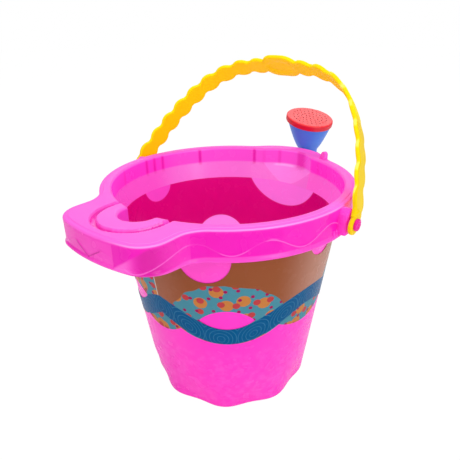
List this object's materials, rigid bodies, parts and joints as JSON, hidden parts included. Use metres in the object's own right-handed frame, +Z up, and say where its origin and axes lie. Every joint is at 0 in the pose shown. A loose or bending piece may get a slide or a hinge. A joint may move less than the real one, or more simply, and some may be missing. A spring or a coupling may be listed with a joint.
{
  "type": "sand bucket",
  "caption": "Tapered toy sand bucket with a skirted rim, hollow grip lip with a pouring notch, swinging bail handle and a turning watering rose behind the rim.",
  "frame": {"origin": "centre of the flat base, on the floor", "axes": "+Z up along the bucket's axis, the grip lip points to -Y, the rose to +Y, and the bail's pins lie parallel to X"},
  "size_m": [0.2808, 0.3515, 0.3333],
  "materials": {
    "pink_moulding": "satin moulded polypropylene, slightly translucent",
    "printed_film": "glossy printed in-mould film",
    "yellow_strip": "satin flexible polyethylene",
    "blue_funnel": "satin moulded plastic",
    "red_cap": "satin moulded plastic"
  },
  "bodies": {
    "bucket": {"tub": "pink_moulding", "rim": "pink_moulding", "grip_lip": "pink_moulding", "spout_socket": "pink_moulding", "pivot_pin_left": "pink_moulding", "pivot_pin_right": "pink_moulding", "label": "printed_film"},
    "handle": {"bail": "yellow_strip"},
    "rose": {"rose_funnel": "blue_funnel", "rose_cap": "red_cap"}
  },
  "joints": [
    {"name": "bail_swing", "type": "hinge", "parent": "bucket", "child": "handle", "pos_m": [0, 0, 0.2095], "axis": [1, 0, 0], "range_deg": [-15, 115]},
    {"name": "rose_turn", "type": "hinge", "parent": "bucket", "child": "rose", "pos_m": [0, 0.157, 0.2], "axis": [0, 0, 1], "continuous": true}
  ]
}
